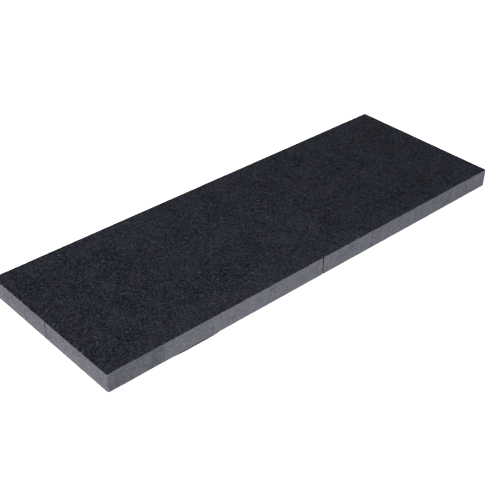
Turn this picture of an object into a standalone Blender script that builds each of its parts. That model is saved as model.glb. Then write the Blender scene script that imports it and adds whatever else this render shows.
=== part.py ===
"""Granite slab for leather work: sawn stone tiles in two rows, glued edge to edge on a thin non-slip sheet.

Run it with: blender --background --python part.py
Metres, +Z up. +X runs along the slab, +Y from the near row of tiles to the far row.
The origin is the centre of the slab's footprint, at the level of the bench.
"""

import bpy

MM = 0.001

# Driving dimensions, in millimetres.

# Each column of tiles, from the -X end: its length along X, and the depth along Y of its near tile.
# The far tile of the column takes what is left of the slab's width.
COLUMNS = (
    (35.6, 55.2),
    (32.9, 53.6),
    (40.6, 48.2),
    (41.5, 58.4),
    (41.0, 58.4),
    (40.7, 60.3),
    (34.0, 54.0),
    (36.1, 54.2),
)
FIRST_HALF = 4  # columns on the -X side of the open joint at mid-length
SLAB_WIDTH = 107.6
STONE_THICKNESS = 12.0
GLUED_JOINT = 0.3  # between neighbouring tiles
OPEN_JOINT = 0.8  # between the two halves of the slab
ARRIS = 0.2  # width of the stoned-off edge of each tile
ARRIS_STEPS = 2

SHEET_THICKNESS = 0.5
SHEET_SETBACK = 1.5  # from the outer faces of the stone to the edge of the sheet
SHEET_CORNER_RADIUS = 3.0
SHEET_CORNER_STEPS = 6
GLUE_FILM = 0.3  # between the sheet and the stone

# Finishes: base colour and roughness.
STONE_TONES = ((0.155, 0.158, 0.190), (0.165, 0.165, 0.196), (0.148, 0.150, 0.182))
STONE_ROUGHNESS = 0.45
SHEET_COLOUR = (0.03, 0.03, 0.032)
SHEET_ROUGHNESS = 0.9


def clear_scene():
    for obj in list(bpy.data.objects):
        bpy.data.objects.remove(obj)


def part_collection(name):
    collection = bpy.data.collections.new(name)
    bpy.context.scene.collection.children.link(collection)
    return collection


def finish_of(name, colour, roughness):
    """A Principled material with no metal in it."""
    material = bpy.data.materials.new(name)
    material.use_nodes = True
    shader = material.node_tree.nodes["Principled BSDF"]
    shader.inputs["Base Color"].default_value = (*colour, 1.0)
    shader.inputs["Roughness"].default_value = roughness
    shader.inputs["Metallic"].default_value = 0.0
    return material


def block(name, low, high, collection):
    """A closed box between two corners given in millimetres, with its scale applied."""
    size = [(b - a) * MM for a, b in zip(low, high)]
    middle = [(a + b) / 2 * MM for a, b in zip(low, high)]
    bpy.ops.mesh.primitive_cube_add(size=1.0, location=middle)
    obj = bpy.context.object
    obj.name = name
    obj.data.name = name
    obj.scale = size
    bpy.ops.object.transform_apply(location=False, rotation=False, scale=True)
    for old in obj.users_collection:
        old.objects.unlink(obj)
    collection.objects.link(obj)
    return obj


def stone_tile(name, low, high, tone, collection):
    """One sawn tile, with every edge taken off by the arris."""
    tile = block(name, low, high, collection)
    arris = tile.modifiers.new("arris", "BEVEL")
    arris.width = ARRIS * MM
    arris.segments = ARRIS_STEPS
    arris.limit_method = "NONE"
    tile.data.materials.append(finish_of(name, tone, STONE_ROUGHNESS))
    return tile


def column_spans():
    """The start and end of each column along X, in millimetres, centred on the origin."""
    joints = [GLUED_JOINT] * (len(COLUMNS) - 1)
    joints[FIRST_HALF - 1] = OPEN_JOINT
    total = sum(length for length, _ in COLUMNS) + sum(joints)
    start = -total / 2
    spans = []
    for (length, _), joint in zip(COLUMNS, joints + [0.0]):
        spans.append((start, start + length))
        start += length + joint
    return spans


def lay_tiles(collection):
    """The near and the far row of tiles, numbered from the -X end."""
    base = SHEET_THICKNESS + GLUE_FILM
    top = base + STONE_THICKNESS
    near_face = -SLAB_WIDTH / 2
    far_face = SLAB_WIDTH / 2
    for index, ((start, end), (_, near_depth)) in enumerate(zip(column_spans(), COLUMNS)):
        split = near_face + near_depth
        rows = (
            ("near_tile", near_face, split),
            ("far_tile", split + GLUED_JOINT, far_face),
        )
        for row, (label, front, back) in enumerate(rows):
            tone = STONE_TONES[(index + row) % len(STONE_TONES)]
            name = f"{label}_{index + 1}"
            stone_tile(name, (start, front, base), (end, back, top), tone, collection)


def lay_sheet(collection):
    """The non-slip sheet, set back under the stone all round, with its upright corners rounded."""
    spans = column_spans()
    half_length = spans[-1][1] - SHEET_SETBACK
    half_width = SLAB_WIDTH / 2 - SHEET_SETBACK
    low = (-half_length, -half_width, 0.0)
    high = (half_length, half_width, SHEET_THICKNESS)
    sheet = block("non_slip_sheet", low, high, collection)
    weights = sheet.data.attributes.new("bevel_weight_edge", "FLOAT", "EDGE")
    for edge in sheet.data.edges:
        ends = [sheet.data.vertices[index].co for index in edge.vertices]
        upright = abs(ends[0].z - ends[1].z) > SHEET_THICKNESS * MM / 2
        weights.data[edge.index].value = 1.0 if upright else 0.0
    corners = sheet.modifiers.new("corners", "BEVEL")
    corners.limit_method = "WEIGHT"
    corners.width = SHEET_CORNER_RADIUS * MM
    corners.segments = SHEET_CORNER_STEPS
    sheet.data.materials.append(finish_of("non_slip_sheet", SHEET_COLOUR, SHEET_ROUGHNESS))
    return sheet


def build():
    clear_scene()
    collection = part_collection("granite_slab")
    lay_sheet(collection)
    lay_tiles(collection)


build()
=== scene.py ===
"""Looks of the granite slab: sawn stone tiles in two rows, epoxy between them and a rubber sheet below.

Metres, as in the frame: +X runs along the slab, +Y from the near row of tiles to the far row, +Z up.
"""

import math

import bpy
import numpy as np
from mathutils import Matrix, Vector


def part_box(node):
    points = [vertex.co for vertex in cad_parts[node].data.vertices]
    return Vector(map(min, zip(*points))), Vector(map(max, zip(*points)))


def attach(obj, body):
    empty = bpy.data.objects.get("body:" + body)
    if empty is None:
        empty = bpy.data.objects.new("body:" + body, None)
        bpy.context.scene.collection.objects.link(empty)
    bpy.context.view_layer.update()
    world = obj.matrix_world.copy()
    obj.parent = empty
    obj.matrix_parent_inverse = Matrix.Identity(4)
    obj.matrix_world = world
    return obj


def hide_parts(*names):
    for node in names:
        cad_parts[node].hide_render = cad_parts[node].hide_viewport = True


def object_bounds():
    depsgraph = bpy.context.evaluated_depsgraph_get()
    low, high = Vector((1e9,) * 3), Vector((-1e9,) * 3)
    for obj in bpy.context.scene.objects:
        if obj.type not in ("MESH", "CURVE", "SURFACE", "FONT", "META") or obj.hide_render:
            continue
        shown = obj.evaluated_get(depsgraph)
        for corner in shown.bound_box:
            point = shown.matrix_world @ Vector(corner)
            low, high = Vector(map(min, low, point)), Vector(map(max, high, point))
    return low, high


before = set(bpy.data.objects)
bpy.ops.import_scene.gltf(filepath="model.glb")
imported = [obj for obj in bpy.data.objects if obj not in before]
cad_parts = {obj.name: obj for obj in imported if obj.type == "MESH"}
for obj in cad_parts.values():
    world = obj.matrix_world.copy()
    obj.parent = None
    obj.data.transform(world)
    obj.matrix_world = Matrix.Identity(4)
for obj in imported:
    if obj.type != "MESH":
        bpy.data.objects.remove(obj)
cad_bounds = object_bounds()

MM = 0.001

# The slab, read from the frame.
ROWS = ("near_tile", "far_tile")
COLUMNS = sum(name.startswith(ROWS[0]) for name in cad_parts)
SHEET = "non_slip_sheet"
FIRST_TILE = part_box(f"{ROWS[0]}_1")
STONE_BASE = FIRST_TILE[0].z
STONE_TOP = FIRST_TILE[1].z
SLAB_LOW = Vector(cad_bounds[0])
SLAB_HIGH = Vector(cad_bounds[1])
SLAB_LENGTH = SLAB_HIGH.x - SLAB_LOW.x
SAME_PLACE = 0.01 * MM  # a tile's face this close to the slab's outline is an outer one

# Grid of points on a tile: close together at its edges, and wider apart away from them.
EDGE_STEP = 0.05 * MM
EDGE_GROWTH = 1.45  # how much wider each next step is
EDGE_STEPS = 40  # more than any face needs
ALONG_STEP = 0.5 * MM  # widest step along an edge, about
RIM_WIDTH = 4.0 * MM  # depth of the rim of points around each flat face

# Arrises: the edges of each tile, taken off with a stone.
ARRIS = 0.20 * MM  # radius
ARRIS_WANDER = 0.40  # share of that radius by which it comes and goes
ARRIS_WAVE = 1.1 * MM  # and the length over which it does
THINNEST_ARRIS = 0.06 * MM
CORNER_ARRIS = 0.15 * MM  # extra radius at the slab's own four upright corners
CORNER_REACH = 1.2 * MM
WAVES = 9  # sine waves in anything that wanders

# Nicks in those edges.
NICK_SPACING = 4.5 * MM  # mean distance from one to the next
NICK_DRAWS = 4000  # random edges to choose from, more than a tile has nicks
NICK_RADIUS = (0.30 * MM, 1.0 * MM)
NICK_DEPTH = (0.06 * MM, 0.34 * MM)
NICK_RARITY = 1.8  # power that makes most of them small
INNER_NICKS = 0.1  # share of their growth that is left along the joints
LEVEL_NICKS = 0.4  # share of their growth that is left along level edges

# Tones of the stone, carried by its points.
SAWN_FROM = 0.12 * MM  # how far below the face its honed look ends
SAWN_FADE = 2 * EDGE_STEP
SAWN_BEHIND = 3 * EDGE_STEP  # how far round an outer corner the sawn look goes before it fades
SMEAR_WIDTH = 0.45 * MM  # wiped epoxy on the slab's ends, each side of the joint between the rows
SMEAR_FULL = 0.3  # share of that width that is wholly covered
SMEAR_DEPTH = 0.8
ARRIS_SHOWS = 0.25 * ARRIS  # wear at which an arris has its full tone
NICK_SHOWS = 0.5 * ARRIS  # wear at which a nick has its full tone
PALE_NICK = 0.9  # shallowest nick that shows any of it, as a share of the least depth
# How pale each near tile is sawn, from the -X end.
NEAR_TONES = (-1.0, 0.3, 0.65, 0.4, 0.15, 0.1, -0.3, -0.15)

# How far the tiles are out of line with each other.
LIPPAGE = 0.05 * MM  # most that a tile's face sits below the slab's
SIDE_STEP = 0.06 * MM  # most that an outer side sits inside the slab's
ROW_SEEDS = 100  # random seeds kept for each row of tiles

# Epoxy in the joints.
GLUE_BELOW_FACE = 0.07 * MM
GLUE_BELOW_SIDE = 0.10 * MM
GLUE_MENISCUS = 0.05 * MM  # depth of the hollow across its top
GLUE_ACROSS = 7  # points across that hollow
GLUE_WANDER = 0.4  # share of the hollow's depth by which the top rises and sinks along the joint
GLUE_WAVE = 4 * MM
GLUE_STEP = 1.0 * MM
ROW_END = 1.2 * MM  # how far in from the slab's ends the joint between the rows starts to be filled
OPEN_JOINT_END = 1.2 * MM  # how far in from the near side the open joint at mid-length starts to be filled
OPEN_WIDTH = 1.5  # that joint is at least this many times as wide as the narrowest
# How much stone dust covers the outer ends of each joint across the slab, from the -X end.
DUSTED = (1.0, 1.1, 0.88, 0.0, 0.55, 0.2, 0.45)

# Rubber sheet.
STUD_PITCH = 3.4 * MM
STUD_HEIGHT = 0.12 * MM
SHEET_CELL = 0.85 * MM
SHEET_ROLL = 0.12 * MM  # how far each face rolls in at the rim
ROLL_WIDTH = 2 * SHEET_CELL
SHEET_CORNER = 3.0 * MM
SHADOW_SLIVER_OUT = 1.40 * MM  # how far the sheet sticks out under a stretch of the near side, where its dark rubber is painted shadow below the stone
SHADOW_SLIVER_MIDDLE = -0.31  # middle of that stretch and half its length, as shares of the slab's length
SHADOW_SLIVER_REACH = 0.055
SHADOW_SLIVER_FADE = 10 * MM  # how far inwards from the near side that bulge dies out

# Floor and lights, in metres and watts.
FLOOR_REACH = 8.0
FLOOR_RINGS = (0.02, 0.1, 0.2, 0.35, 0.6, 1.0)  # shares of that reach
FLOOR_SIDES = 96
GLOW_REACH = (0.7, 2.4)  # distances between which the paper's glow grows
SURROUND = (0.97, 0.985, 1.0)
SURROUND_STRENGTH = 0.40

# Camera: it looks at a point beside the middle of the slab, in shares of the slab's length.
VIEW_AZIMUTH = math.radians(-42.81)
VIEW_ELEVATION = math.radians(34.50)
VIEW_ROLL = math.radians(0.876)
VIEW_DISTANCE = 1.957 * SLAB_LENGTH
VIEW_TARGET = Vector((-0.0514 * SLAB_LENGTH, -0.0250 * SLAB_LENGTH, STONE_BASE))
LENS = 71.7  # millimetres, like the sensor's width
SENSOR = 36.0
CLIP_START = 0.01

# Colours of the honed face, from its darkest ground to its brightest crystals.
HONED_DARK = (0.0010, 0.0012, 0.0031)
HONED_WARM = (0.0215, 0.0206, 0.0285)
HONED_COOL = (0.0180, 0.0208, 0.0305)
FELDSPAR = (0.022, 0.024, 0.031)
FLAKE = (0.050, 0.054, 0.068)
MICA = (0.100, 0.105, 0.128)

# Colours of the sawn sides, the arrises and the nicks.
SAWN_DARK = (0.040, 0.041, 0.052)
SAWN_WARM = (0.154, 0.149, 0.172)
SAWN_COOL = (0.142, 0.151, 0.176)
ARRIS_TONE = (0.0085, 0.0093, 0.0135)
BROKEN = (0.190, 0.190, 0.208)

# Colours of the epoxy, the rubber, and the paper with its glow.
EPOXY_DARK = (0.0070, 0.0078, 0.0118)
EPOXY_PALE = (0.0128, 0.0140, 0.0195)
STONE_DUST = (0.086, 0.087, 0.102)
RUBBER_BLACK = (0.010, 0.010, 0.011)
RUBBER_BLOOM = (0.024, 0.024, 0.026)
PAPER_DARK = (0.43, 0.43, 0.43)
PAPER_PALE = (0.45, 0.45, 0.45)
GLOW_NEAR = (0.8, 0.8, 0.8)
GLOW_FAR = (0.95, 0.95, 0.95)

# Patterns in the stone: how many crystals, clouds or flecks there are to a millimetre.
COARSE_GRAIN = 0.75
GRAIN = 1.15
SPECKS = 1.7
FINE_GRAIN = 2.7
LATHS = 0.8
CLOUDS = 0.055
SMEARS = 0.16
DRIFT = 0.09  # of the colour, between warm and cool
SWAY = 1.3  # of the crystals' outlines
SAWN_TOOTH = 4.0
FLAKE_FLECKS = {"scale": 0.55, "size": (0.10, 0.20), "draw": (0.72, 0.84)}
MICA_FLECKS = {"scale": 0.32, "size": (0.06, 0.13), "draw": (0.76, 0.82)}
LATHS_ALONG = (0.9, 2.6, 1.7)  # squeeze that draws crystals out along X
LATHS_ACROSS = (2.6, 0.9, 1.7)  # and along Y
SAW_MARKS = (0.06, 0.06, 5.0)  # squeeze that draws the saw's marks out level
HONED_LEVEL = 0.453  # taken off the sum of the patterns, so that most of the ground stays dark
SPECKLE_LEVEL = 0.46
SAWN_LEVEL = 0.25

# Places in the stone, in millimetres.
LOT_REACH = 900.0  # how far apart the tiles are cut
SWAY_REACH = 0.7
WORN_CENTRE = (-70.0, -35.0, 12.0)  # middle of the most used part of the face
WORN_REACH = (30.0, 190.0)  # distances from it where the wear starts to fade, and is gone
HANDLED = (0.62, 0.95)  # where the long sides' handling starts and is full, as shares of the half width
HALF_WIDTH = SLAB_HIGH.y / MM
THICKNESS = SLAB_HIGH.z / MM

# Relief of each finish.
STONE_TOOTH = 0.04 * MM
GLUE_TOOTH = 0.03 * MM
RUBBER_TOOTH = 0.03 * MM


# Mesh surfaces


def new_piece(name, points, faces, finish):
    """A smooth-shaded mesh object at the origin, from an array of points and a list of faces."""
    mesh = bpy.data.meshes.new(name)
    mesh.from_pydata(points.tolist(), [], faces)
    mesh.materials.append(finish)
    mesh.shade_smooth()
    obj = bpy.data.objects.new(name, mesh)
    bpy.context.scene.collection.objects.link(obj)
    return obj


def set_number(obj, name, values):
    """One number on each point, for the finish to read."""
    attribute = obj.data.attributes.new(name, "FLOAT", "POINT")
    attribute.data.foreach_set("value", np.asarray(values, np.float32).ravel())


def set_vector(obj, name, values):
    """One vector on each point, for the finish to read."""
    attribute = obj.data.attributes.new(name, "FLOAT_VECTOR", "POINT")
    attribute.data.foreach_set("vector", np.asarray(values, np.float32).ravel())


def tube_faces(rings, around):
    """The faces of a closed tube of rings of points, with one flat cap on each end."""
    ring, place = np.meshgrid(np.arange(rings - 1), np.arange(around), indexing="ij")
    here = ring * around + place
    beside = ring * around + (place + 1) % around
    quads = np.stack([here, here + around, beside + around, beside], axis=-1).reshape(-1, 4)
    first = list(range(around))
    last = [(rings - 1) * around + place for place in reversed(range(around))]
    return quads.tolist() + [first, last]


def plate_faces(nx, ny):
    """The faces of a closed plate of two grids of points: its top, its base and the wall round its rim."""
    index = np.arange(nx * ny).reshape(nx, ny)
    corners = [index[:-1, :-1], index[1:, :-1], index[1:, 1:], index[:-1, 1:]]
    top = np.stack(corners, axis=-1).reshape(-1, 4)
    base = top[:, ::-1] + nx * ny
    rim = np.concatenate([index[:-1, 0], index[-1, :-1], index[:0:-1, -1], index[0, :0:-1]])
    beside = np.roll(rim, -1)
    wall = np.stack([rim, rim + nx * ny, beside + nx * ny, beside], axis=-1)
    return np.concatenate([top, base, wall]).tolist()


def widening_steps():
    """Steps away from an edge: the first is EDGE_STEP, and each next one is EDGE_GROWTH times as wide."""
    return EDGE_STEP * EDGE_GROWTH ** np.arange(EDGE_STEPS)


def inwards(reach):
    """Distances from an edge: 0, then the sum of the widening steps so far, and last the reach itself."""
    distances = np.concatenate([[0.0], np.cumsum(widening_steps())])
    return np.append(distances[distances < reach], reach)


def along_edge(length):
    """Places along an edge: widening steps in from both ends, and even ones of about ALONG_STEP between."""
    steps = widening_steps()
    end = np.concatenate([[0.0], np.cumsum(steps[steps < ALONG_STEP])])
    count = max(2, round((length - 2 * end[-1]) / ALONG_STEP))
    middle = np.linspace(end[-1], length - end[-1], count + 1)
    return np.concatenate([end[:-1], middle, length - end[-2::-1]])


def rectangle(half_x, half_y):
    """Points once round a rectangle, anticlockwise from its lowest corner, with no point given twice."""
    x = along_edge(2 * half_x)[:-1] - half_x
    y = along_edge(2 * half_y)[:-1] - half_y
    sides = (
        np.stack([x, np.full_like(x, -half_y)], axis=1),
        np.stack([np.full_like(y, half_x), y], axis=1),
        np.stack([-x, np.full_like(x, half_y)], axis=1),
        np.stack([np.full_like(y, -half_x), -y], axis=1),
    )
    return np.concatenate(sides)


def wander(points, scale, seed):
    """A smooth random value about 0, mostly within 1.5 of it.

    It is the sum of sine waves with random directions and phases, over the root of their number.
    """
    rng = np.random.default_rng(seed)
    directions = rng.normal(size=(WAVES, 3)) / scale
    phases = rng.uniform(0, math.tau, WAVES)
    return np.sin(points @ directions.T + phases).sum(axis=-1) / math.sqrt(WAVES)


# Stone


def plain_block(half):
    """A grid of points on a plain box about the origin, as rings from its top, down its sides, to its base.

    On a side a ring is the box's outline at one height. On the top and the base the outline shrinks
    inwards, as far as RIM_WIDTH, and the flat middle is left to the caps.
    """
    outline = rectangle(half[0], half[1])
    rim = inwards(RIM_WIDTH)
    side = inwards(half[2])
    shrink = np.concatenate([rim[:0:-1], np.zeros(2 * side.size - 1), rim[1:]])
    level = half[2] - np.concatenate([side, 2 * half[2] - side[-2::-1]])
    top = np.full(rim.size - 1, half[2])
    level = np.concatenate([top, level, -top])
    scale = 1 - shrink[:, None] / half[:2]
    flat = outline[None] * scale[:, None, :]
    height = np.broadcast_to(level[:, None, None], (*flat.shape[:2], 1))
    return np.concatenate([flat, height], axis=-1)


def nicks(points, half, outer, rng):
    """How much each nick adds to the edge's radius at each point: the highest of many domes.

    Each dome stands on a random place on one of the block's twelve edges, with more of them on long edges.
    It falls away as 1 less the square of the distance over its radius. Its radius and depth grow with one
    random share, which is raised to a power and is cut down along joints and along level edges.
    """
    axes = rng.integers(0, 3, NICK_DRAWS)
    lengths = 2 * half[axes]
    all_edges = 8 * half.sum()
    keep = rng.uniform(size=axes.size) < lengths / lengths.max()
    axes = axes[keep][: int(all_edges / NICK_SPACING)]
    ends = rng.integers(0, 2, size=(axes.size, 3))
    centres = half * (2.0 * ends - 1)
    on_outside = (outer[ends, [0, 1, 2]] & (axes[:, None] != [0, 1, 2])).any(axis=1)
    centres[np.arange(axes.size), axes] *= rng.uniform(-1, 1, axes.size)
    share = rng.uniform(size=axes.size) ** NICK_RARITY
    share = share * np.where(on_outside, 1.0, INNER_NICKS) * np.where(axes == 2, 1.0, LEVEL_NICKS)
    radii = NICK_RADIUS[0] + (NICK_RADIUS[1] - NICK_RADIUS[0]) * share
    depths = NICK_DEPTH[0] + (NICK_DEPTH[1] - NICK_DEPTH[0]) * share
    extra = np.zeros(points.shape[:-1])
    for centre, radius, depth in zip(centres, radii, depths):
        away = np.linalg.norm(points - centre, axis=-1) / radius
        extra = np.maximum(extra, depth * np.clip(1 - away**2, 0, 1))
    return extra


def arris_radius(plain, half, corners, seed):
    """The radius of the edges near each point: it wanders about its mean, and grows at the given corners.

    Near a corner it grows by 1 less the square of the distance over CORNER_REACH.
    """
    radius = ARRIS * (1 + ARRIS_WANDER * wander(plain, ARRIS_WAVE, seed))
    for corner in corners:
        away = np.linalg.norm(plain[..., :2] - half[:2] * corner, axis=-1) / CORNER_REACH
        radius = radius + CORNER_ARRIS * np.clip(1 - away**2, 0, 1)
    return np.maximum(radius, THINNEST_ARRIS)


def rounded(plain, half, radius):
    """Pulls the points of a plain box onto a rounded one.

    Each goes to its nearest point in the box drawn in by its radius, plus that radius along the line
    between the two.
    """
    radius = radius[..., None]
    core = np.clip(plain, radius - half, half - radius)
    lean = plain - core
    return core + radius * lean / np.linalg.norm(lean, axis=-1, keepdims=True)


def sawn_share(plain, half, outer, end):
    """How far each point belongs to the sawn sides, from 0 to 1.

    It rises from SAWN_FROM below the face, fades behind the outer sides, and is covered by wiped epoxy on
    the ends beside the joint between the rows.
    """
    from_faces = np.stack([half + plain, half - plain], axis=-2)
    behind = np.where(outer, from_faces, 1.0).min(axis=(-1, -2))
    sawn = np.clip((half[2] - plain[..., 2] - SAWN_FROM) / SAWN_FADE, 0, 1)
    sawn = sawn * np.clip(2 - behind / SAWN_BEHIND, 0, 1)
    to_row_joint = half[1] + plain[..., 1] * np.where(outer[1, 1], 1.0, -1.0)
    smear = np.clip(1 + SMEAR_FULL - to_row_joint / SMEAR_WIDTH, 0, 1)
    return sawn * (1 - SMEAR_DEPTH * end * smear)


def stone_tile(name, row, column, finish):
    """One tile in the place of its CAD node: a plain block, rounded along its edges and in its nicks.

    Its outer sides and its face are drawn in by a random hair. Each point carries numbers for the finish:
    how far it is sawn, worn at the arris, nicked or on an end, how pale its tile is, and its lot of stone.
    """
    seed = ROW_SEEDS * row + column
    rng = np.random.default_rng(seed)
    low, high = (np.array(corner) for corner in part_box(name))
    outer_low = np.abs(low - np.array(SLAB_LOW)) < SAME_PLACE
    outer_high = np.abs(high - np.array(SLAB_HIGH)) < SAME_PLACE
    low = low + outer_low * rng.uniform(0, SIDE_STEP, 3) * (1, 1, 0)
    high = high - outer_high * rng.uniform(0, 1, 3) * (SIDE_STEP, SIDE_STEP, LIPPAGE)
    outer = np.array([outer_low, outer_high]) & [True, True, False]
    corners = [
        (side_x, side_y)
        for side_x, is_x in ((-1, outer_low[0]), (1, outer_high[0]))
        for side_y, is_y in ((-1, outer_low[1]), (1, outer_high[1]))
        if is_x and is_y
    ]
    middle = (low + high) / 2
    half = (high - low) / 2
    plain = plain_block(half)
    nick = nicks(plain, half, outer, rng)
    worn = rounded(plain, half, arris_radius(plain, half, corners, seed) + nick)
    loss = np.linalg.norm(plain - worn, axis=-1)
    end = np.clip(1 - (half[0] - np.abs(plain[..., 0])) / SAWN_FADE, 0, 1)
    tone = NEAR_TONES[column - 1] if row == 0 else rng.uniform(-1, 1)

    points = worn + middle
    tile = new_piece(f"{name}_stone", points.reshape(-1, 3), tube_faces(*points.shape[:2]), finish)
    pale = np.clip(nick / NICK_DEPTH[0] - PALE_NICK, 0, 1)
    set_number(tile, "sawn", sawn_share(plain, half, outer, end))
    set_number(tile, "arris", np.clip(loss / ARRIS_SHOWS, 0, 1))
    set_number(tile, "nick", pale * np.clip(loss / NICK_SHOWS, 0, 1))
    set_number(tile, "tone", np.full(points.shape[:2], tone))
    set_number(tile, "end", end)
    set_vector(tile, "lot", np.broadcast_to(rng.uniform(-1, 1, 3), points.shape))
    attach(tile, "root")
    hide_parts(name)


# Epoxy and rubber


def glue_line(name, start, end, width, dusted, finish):
    """Epoxy between two tiles: a thin wall with a hollow top.

    The hollow is 1 less the square of the place across, from -1 to 1, times its depth. The whole top rises
    and sinks with a wander along the joint. The points by the slab's long sides carry the dust.
    """
    start, end = np.array(start), np.array(end)
    length = np.linalg.norm(end - start)
    direction = (end - start) / length
    across = np.array([-direction[1], direction[0]])
    count = max(2, round(length / GLUE_STEP))
    distance = np.linspace(0, length, count + 1)
    centre = start + distance[:, None] * direction
    top = STONE_TOP - GLUE_BELOW_FACE - LIPPAGE
    share = np.linspace(-1, 1, GLUE_ACROSS)
    hollow = top - GLUE_MENISCUS * (1 - share**2)
    offsets = np.concatenate([[1.0, -1.0], share]) * width / 2
    heights = np.concatenate([[STONE_BASE, STONE_BASE], hollow])
    flat = centre[:, None, :] + offsets[:, None] * across
    seed = len(name)  # one for all the joints across, and another for all those along
    sag = GLUE_WANDER * GLUE_MENISCUS * wander(np.pad(centre, ((0, 0), (0, 1))), GLUE_WAVE, seed)
    height = heights + sag[:, None] * (heights > STONE_BASE)
    points = np.concatenate([flat, height[..., None]], axis=-1)
    line = new_piece(name, points.reshape(-1, 3), tube_faces(*points.shape[:2]), finish)
    by_side = np.abs(centre[:, 1]) > SLAB_HIGH.y - 2 * GLUE_BELOW_SIDE
    set_number(line, "dust", np.broadcast_to(dusted * by_side[:, None], height.shape))
    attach(line, "root")


def fill_joints(finish):
    """Epoxy in every joint: across the slab between columns, and along it between the two rows."""
    near = [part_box(f"{ROWS[0]}_{column + 1}") for column in range(COLUMNS)]
    far = [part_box(f"{ROWS[1]}_{column + 1}") for column in range(COLUMNS)]
    widths = [after[0].x - before[1].x for before, after in zip(near, near[1:])]
    for column, (before, width) in enumerate(zip(near, widths)):
        x = before[1].x + width / 2
        inset = OPEN_JOINT_END if width > OPEN_WIDTH * min(widths) else GLUE_BELOW_SIDE
        start = (x, SLAB_LOW.y + inset)
        end = (x, SLAB_HIGH.y - GLUE_BELOW_SIDE)
        glue_line(f"cross_glue_{column + 1}", start, end, width, DUSTED[column], finish)
    for column, (front, back) in enumerate(zip(near, far)):
        y = (front[1].y + back[0].y) / 2
        first = ROW_END if column == 0 else 0.0
        last = ROW_END if column == COLUMNS - 1 else 0.0
        start = (front[0].x + first, y)
        end = (front[1].x - last, y)
        glue_line(f"row_glue_{column + 1}", start, end, back[0].y - front[1].y, 0.0, finish)


def round_corners(flat, half):
    """Draws the corners of a rectangle's grid onto quarter discs.

    Past the straight stretches each point keeps its direction from the disc's centre, and its larger
    coordinate becomes its distance.
    """
    straight = half - SHEET_CORNER
    past = np.clip(np.abs(flat) - straight, 0, None)
    distance = np.linalg.norm(past, axis=-1, keepdims=True)
    larger = past.max(axis=-1, keepdims=True)
    shrink = np.divide(larger, distance, out=np.ones_like(larger), where=distance > 0)
    return np.sign(flat) * (np.minimum(np.abs(flat), straight) + past * shrink)


def shadow_sliver(flat, half):
    """How far each point is pushed out so that dark rubber shows as painted shadow under the near side: a
    bell of the sixth power along that side, fading inwards.
    """
    stretch = (flat[..., 0] / SLAB_LENGTH - SHADOW_SLIVER_MIDDLE) / SHADOW_SLIVER_REACH
    near = np.clip(1 - (flat[..., 1] + half[1]) / SHADOW_SLIVER_FADE, 0, 1)
    return SHADOW_SLIVER_OUT * np.exp(-(stretch**6)) * near


def rubber_sheet(finish):
    """The non-slip sheet: a plate with round corners and low round studs underneath, on a square grid.

    Both faces are the same even grid, and roll towards each other along the rim. The underside rises
    between the studs by 1 less the product of two raised cosines.
    """
    low, high = (np.array(corner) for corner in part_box(SHEET))
    half = (high - low) / 2
    xs, ys = (np.linspace(-side, side, round(2 * side / SHEET_CELL) + 1) for side in half[:2])
    flat = np.stack(np.meshgrid(xs, ys, indexing="ij"), axis=-1)
    margin = (half[:2] - np.abs(flat)).min(axis=-1)
    roll = SHEET_ROLL * np.clip(1 - margin / ROLL_WIDTH, 0, 1)
    wave = 0.5 + 0.5 * np.cos(math.tau * flat / STUD_PITCH)
    hollow = STUD_HEIGHT * (1 - wave.prod(axis=-1)) * np.clip(margin / STUD_PITCH, 0, 1)
    flat = round_corners(flat, half[:2])
    # Painted shadow: the sheet bulges out under a stretch of the near side, so its dark rubber shows below
    # the stone there.
    flat[..., 1] -= shadow_sliver(flat, half)
    upper = np.concatenate([flat, (half[2] - roll)[..., None]], axis=-1)
    lower = np.concatenate([flat, (roll + hollow - half[2])[..., None]], axis=-1)
    points = np.concatenate([upper.reshape(-1, 3), lower.reshape(-1, 3)]) + (high + low) / 2
    sheet = new_piece("rubber_sheet", points, plate_faces(*flat.shape[:2]), finish)
    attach(sheet, "root")
    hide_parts(SHEET)


# Finishes


class Value:
    """A shader socket that takes part in arithmetic: each operator adds one Math node."""

    def __init__(self, finish, socket):
        self.finish = finish
        self.socket = socket

    def math(self, operation, *values, clamp=False):
        """One Math node on the values given."""
        settings = {"operation": operation, "use_clamp": clamp}
        return self.finish.node("ShaderNodeMath", settings, dict(enumerate(values)))

    def __add__(self, other):
        return self.math("ADD", self, other)

    def __sub__(self, other):
        return self.math("SUBTRACT", self, other)

    def __rsub__(self, other):
        return self.math("SUBTRACT", other, self)

    def __mul__(self, other):
        return self.math("MULTIPLY", self, other)

    def __abs__(self):
        return self.math("ABSOLUTE", self)

    __radd__ = __add__
    __rmul__ = __mul__

    def clamp(self):
        """The value kept between 0 and 1."""
        return self.math("ADD", self, 0.0, clamp=True)

    def rise(self, start, end):
        """0 below start, 1 above end, and a smooth rise between them."""
        settings = {"interpolation_type": "SMOOTHSTEP"}
        values = {"Value": self, "From Min": start, "From Max": end}
        return self.finish.node("ShaderNodeMapRange", settings, values)


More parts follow.
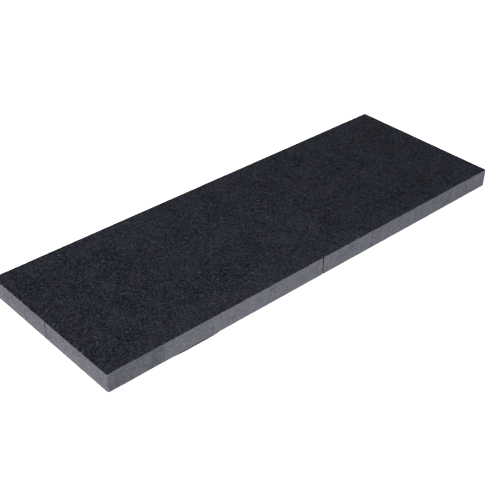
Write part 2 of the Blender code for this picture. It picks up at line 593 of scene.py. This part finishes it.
class Finish:
    """One node material with a Principled shader."""

    # The Mix node's colour sockets: it has others of the same names for numbers and vectors.
    MIX_FIRST = 6
    MIX_SECOND = 7
    MIX_RESULT = 2

    def __init__(self, name, **constants):
        self.material = bpy.data.materials.new(name)
        self.material.use_nodes = True
        self.tree = self.material.node_tree
        self.shader = self.tree.nodes["Principled BSDF"]
        for socket, value in constants.items():
            self.shader.inputs[socket.replace("_", " ")].default_value = value

    def node(self, kind, settings=None, values=None, output=0):
        """Adds a node with its settings, then the values or links of its inputs, and returns one output."""
        node = self.tree.nodes.new(kind)
        for name, value in (settings or {}).items():
            setattr(node, name, value)
        for name, value in (values or {}).items():
            if isinstance(value, Value):
                self.tree.links.new(value.socket, node.inputs[name])
            else:
                node.inputs[name].default_value = value
        return Value(self, node.outputs[output])

    def shade(self, **values):
        """Links values to the shader's own sockets."""
        for socket, value in values.items():
            self.tree.links.new(value.socket, self.shader.inputs[socket.replace("_", " ")])

    def attribute(self, name, output="Fac"):
        """What the points of the piece carry under a name."""
        return self.node("ShaderNodeAttribute", {"attribute_name": name}, output=output)

    def vector(self, operation, first, second=None, scale=None, output="Vector"):
        """One Vector Math node on one or two vectors, or on a vector and a scale."""
        values = {0: first}
        if second is not None:
            values[1] = second
        if scale is not None:
            values["Scale"] = scale
        return self.node("ShaderNodeVectorMath", {"operation": operation}, values, output)

    def place(self, unit=MM):
        """The place on the object, counted in units from the origin."""
        spot = self.node("ShaderNodeTexCoord", output="Object")
        return self.vector("SCALE", spot, scale=1 / unit)

    def noise(self, place, scale, detail=2.0, roughness=0.5, output="Fac"):
        """Soft clouds, with so many to a unit of the place."""
        values = {"Vector": place, "Scale": scale, "Detail": detail, "Roughness": roughness}
        return self.node("ShaderNodeTexNoise", {"noise_dimensions": "3D"}, values, output)

    def cells(self, place, scale, output, feature="F1"):
        """Cells about random points, with so many to a unit of the place."""
        values = {"Vector": place, "Scale": scale}
        return self.node("ShaderNodeTexVoronoi", {"feature": feature}, values, output)

    def crystals(self, place, scale):
        """One random value from 0 to 1 for each cell."""
        colour = self.cells(place, scale, "Color")
        return self.node("ShaderNodeSeparateColor", {}, {"Color": colour})

    def flecks(self, place, scale, size, draw):
        """Round flecks in the middle of some cells: 1 within the first size, and gone past the second.

        A cell has one if its random value is above the second draw, and a fainter one if above the first.
        """
        fleck = 1 - self.cells(place, scale, "Distance").rise(*size)
        return fleck * self.crystals(place, scale).rise(*draw)

    def mix(self, share, first, second):
        """A colour between two others."""
        first, second = (
            colour if isinstance(colour, Value) else (*colour, 1.0) for colour in (first, second)
        )
        values = {"Factor": share, self.MIX_FIRST: first, self.MIX_SECOND: second}
        return self.node("ShaderNodeMix", {"data_type": "RGBA"}, values, self.MIX_RESULT)

    def bump(self, height, distance):
        """Relief of a height from 0 to 1 over a distance."""
        return self.node("ShaderNodeBump", {}, {"Height": height, "Distance": distance})


def honed_face(stone, place, swayed, grain, specks, mica, drift):
    """Colour of the honed face: dark ground with paler crystals.

    The ground's depth of tone is a weighted sum of the grains and of broad clouds. Glints are the grains'
    highest values. Use has worn the middle of the face paler, and hands its long sides. Feldspar laths,
    flakes and mica lie over that.
    """
    coarse = stone.crystals(swayed, COARSE_GRAIN)
    clouds = stone.noise(place, CLOUDS, 3.0, 0.55)
    centre = stone.vector("SUBTRACT", stone.place(), WORN_CENTRE)
    worn = 1 - stone.vector("LENGTH", centre, output="Value").rise(*WORN_REACH)
    half_widths = (0.0, 1 / HALF_WIDTH, 0.0)
    beside = stone.vector("DOT_PRODUCT", stone.place(), half_widths, output="Value")
    handled = abs(beside).rise(*HANDLED)
    ground = coarse * 0.09 + grain * 0.17 + specks * 0.16 + clouds * 0.6 - HONED_LEVEL
    glints = grain.rise(0.70, 1.0) * 0.52 + specks.rise(0.72, 1.0) * 0.62 + coarse.rise(0.80, 1.0) * 0.18
    depth = (ground + glints + worn * 0.12 + handled * 0.09).clamp()
    colour = stone.mix(depth, HONED_DARK, stone.mix(drift, HONED_WARM, HONED_COOL))

    along = stone.vector("MULTIPLY", swayed, LATHS_ALONG)
    across = stone.vector("MULTIPLY", swayed, LATHS_ACROSS)
    laths = stone.crystals(along, LATHS).rise(0.70, 0.96)
    cross_laths = stone.crystals(across, LATHS).rise(0.74, 0.98)
    flakes = stone.flecks(place, **FLAKE_FLECKS)
    colour = stone.mix((laths + cross_laths).clamp() * 0.42, colour, FELDSPAR)
    colour = stone.mix(flakes * (0.25 + worn * 0.75), colour, FLAKE)
    return stone.mix(mica * (0.3 + worn * 0.7), colour, MICA)


def sawn_side(stone, place, grain, fine, specks, saw_marks, drift):
    """Colour of the sawn sides: pale grey, smeared, speckled and streaked level by the saw.

    Its depth of tone is a weighted sum of those, of the tile's own tone and of painted floor bounce that is
    lighter towards the base and darker towards the top. On the ends the speckle and the painted bounce are
    stronger, the drift of colour weaker, and the tile's own tone left out.
    """
    end = stone.attribute("end")
    tone = stone.attribute("tone")
    smears = stone.noise(place, SMEARS, 3.0, 0.6)
    streaks = stone.noise(saw_marks, 1.0, 3.0, 0.6)
    speckle = grain * 0.25 + specks * 0.28 + fine * 0.20 + streaks * 0.2 - SPECKLE_LEVEL
    # Painted floor bounce: the sides are lighter towards the base and darker towards the top, more so on
    # the ends.
    thicknesses = (0.0, 0.0, 1 / THICKNESS)
    down = 0.5 - stone.vector("DOT_PRODUCT", stone.place(), thicknesses, output="Value")
    painted_floor_bounce = down * (0.05 + end * 0.15)
    pattern = smears * 0.5 + speckle * (1.15 + end * 0.4)
    depth = (pattern + tone * (1 - end) * 0.16 + end * 0.02 + painted_floor_bounce + SAWN_LEVEL).clamp()
    return stone.mix(depth, SAWN_DARK, stone.mix(drift * (1 - end * 0.8), SAWN_WARM, SAWN_COOL))


def granite():
    """Near-black fine granite: honed on the face, sawn and paler on the sides, palest where it is nicked.

    Each tile's pattern is moved by its own lot, so that no two are cut from the same place. The honed face
    has shallow pits between its crystals, and the sawn sides have the saw's kerfs and a finer tooth.
    """
    stone = Finish("granite", Specular_IOR_Level=0.05)
    lot = stone.vector("SCALE", stone.attribute("lot", "Vector"), scale=LOT_REACH)
    place = stone.vector("ADD", stone.place(), lot)
    sway = stone.noise(place, SWAY, output="Color")
    swayed = stone.vector("ADD", place, stone.vector("SCALE", sway, scale=SWAY_REACH))
    saw_marks = stone.vector("MULTIPLY", place, SAW_MARKS)
    grain = stone.crystals(swayed, GRAIN)
    specks = stone.crystals(place, SPECKS)
    fine = stone.crystals(swayed, FINE_GRAIN)
    mica = stone.flecks(place, **MICA_FLECKS)
    drift = stone.noise(place, DRIFT).rise(0.38, 0.62)

    cut = stone.attribute("sawn")
    nick = stone.attribute("nick")
    arris = stone.attribute("arris") * (1 - cut)
    honed = honed_face(stone, place, swayed, grain, specks, mica, drift)
    sawn = sawn_side(stone, place, grain, fine, specks, saw_marks, drift)
    colour = stone.mix(cut, honed, sawn)
    colour = stone.mix(arris * 0.7, colour, ARRIS_TONE)
    colour = stone.mix(nick * 0.85, colour, BROKEN)

    roughness = 0.43 + cut * 0.34 + nick * 0.2 + fine * 0.06 - mica * 0.2
    pits = stone.cells(swayed, FINE_GRAIN, "Distance", "DISTANCE_TO_EDGE")
    kerfs = stone.noise(saw_marks, 3.0, 2.0, 0.6)
    tooth = stone.noise(place, SAWN_TOOTH, 3.0, 0.6)
    honed_height = pits.rise(0.0, 0.08) * 0.10 + fine * 0.05
    sawn_height = kerfs * 0.35 + tooth * 0.65
    height = honed_height * (1 - cut) + sawn_height * (cut + nick).clamp()
    stone.shade(Base_Color=colour, Roughness=roughness, Normal=stone.bump(height, STONE_TOOTH))
    return stone.material


def epoxy():
    """Dark grey epoxy, clouded and slightly rough, and pale with stone dust where its points say so."""
    glue = Finish("epoxy", Specular_IOR_Level=0.1)
    place = glue.place()
    clouds = glue.noise(place, 2.2, 3.0, 0.6)
    colour = glue.mix(clouds.rise(0.3, 0.7), EPOXY_DARK, EPOXY_PALE)
    colour = glue.mix(glue.attribute("dust") * 0.9, colour, STONE_DUST)
    tooth = glue.noise(place, 5.0)
    glue.shade(Base_Color=colour, Roughness=0.5 + clouds * 0.25, Normal=glue.bump(tooth, GLUE_TOOTH))
    return glue.material


def rubber():
    """Matt black rubber with a fine leather-like grain and a little grey bloom."""
    sheet = Finish("rubber", Specular_IOR_Level=0.1)
    place = sheet.place()
    bloom = sheet.noise(place, 0.05, 4.0, 0.6)
    colour = sheet.mix(bloom.rise(0.35, 0.75), RUBBER_BLACK, RUBBER_BLOOM)
    grain = sheet.cells(place, 3.0, "Distance")
    sheet.shade(Base_Color=colour, Roughness=0.78 + bloom * 0.15, Normal=sheet.bump(grain, RUBBER_TOOTH))
    return sheet.material


def paper():
    """Plain translucent white paper with a barely visible tooth, lit from below as on a light table."""
    sheet = Finish("paper", Specular_IOR_Level=0.1, Emission_Strength=1.0)
    tooth = sheet.noise(sheet.place(), 0.8, 3.0)
    far = sheet.vector("LENGTH", sheet.place(unit=1.0), output="Value").rise(*GLOW_REACH)
    white = sheet.mix(tooth, PAPER_DARK, PAPER_PALE)
    glow = sheet.mix(far, GLOW_NEAR, GLOW_FAR)
    sheet.shade(Base_Color=white, Roughness=0.85 + tooth * 0.1, Emission_Color=glow)
    return sheet.material


# Studio


def floor(finish):
    """A disc of paper laid flat: rings of growing radius round a middle that is left to one cap."""
    radius = FLOOR_REACH * np.array(FLOOR_RINGS)
    turn = np.arange(FLOOR_SIDES) * math.tau / FLOOR_SIDES
    ring = np.stack([np.cos(turn), np.sin(turn), np.zeros(FLOOR_SIDES)], axis=-1)
    flat = radius[:, None, None] * ring
    faces = tube_faces(*flat.shape[:2])[:-1]
    new_piece("floor", flat.reshape(-1, 3), faces, finish)


def soft_light(name, power, side, spot):
    """A square soft box that faces the slab."""
    lamp = bpy.data.lights.new(name, "AREA")
    lamp.shape = "SQUARE"
    lamp.size = side
    lamp.energy = power
    obj = bpy.data.objects.new(name, lamp)
    obj.location = spot
    obj.rotation_euler = (-Vector(spot)).to_track_quat("-Z", "Y").to_euler()
    bpy.context.scene.collection.objects.link(obj)


def studio():
    """A white floor, soft lights from above, and an even pale surround."""
    floor(paper())
    soft_light("key", power=36.0, side=1.5, spot=(-1.15, -0.55, 1.15))
    soft_light("top", power=27.0, side=1.8, spot=(-0.3, -0.2, 1.6))
    world = bpy.data.worlds.new("surround")
    world.use_nodes = True
    background = world.node_tree.nodes["Background"]
    background.inputs["Color"].default_value = (*SURROUND, 1.0)
    background.inputs["Strength"].default_value = SURROUND_STRENGTH
    bpy.context.scene.world = world
    bpy.context.scene.view_settings.view_transform = "Standard"


def camera():
    """Looks down along the slab from beyond its near left corner, leaning by the roll.

    Its axes are the direction back from the target, and a level and an upright one that the roll turns.
    """
    sine, cosine = math.sin(VIEW_AZIMUTH), math.cos(VIEW_AZIMUTH)
    across = math.cos(VIEW_ELEVATION)
    back = Vector((sine * across, -cosine * across, math.sin(VIEW_ELEVATION)))
    level = Vector((cosine, sine, 0.0))
    upright = back.cross(level)
    right = level * math.cos(VIEW_ROLL) + upright * math.sin(VIEW_ROLL)
    up = back.cross(right)
    lens = bpy.data.cameras.new("camera")
    lens.lens = LENS
    lens.sensor_width = SENSOR
    lens.clip_start = CLIP_START
    obj = bpy.data.objects.new("camera", lens)
    turn = Matrix((right, up, back)).transposed().to_4x4()
    obj.matrix_world = Matrix.Translation(VIEW_TARGET + back * VIEW_DISTANCE) @ turn
    bpy.context.scene.collection.objects.link(obj)
    bpy.context.scene.camera = obj


def build():
    """The slab in its studio, tile by tile, with its joints filled and its sheet below."""
    camera()
    stone = granite()
    for row, label in enumerate(ROWS):
        for column in range(1, COLUMNS + 1):
            stone_tile(f"{label}_{column}", row, column, stone)
    fill_joints(epoxy())
    rubber_sheet(rubber())
    studio()


build()
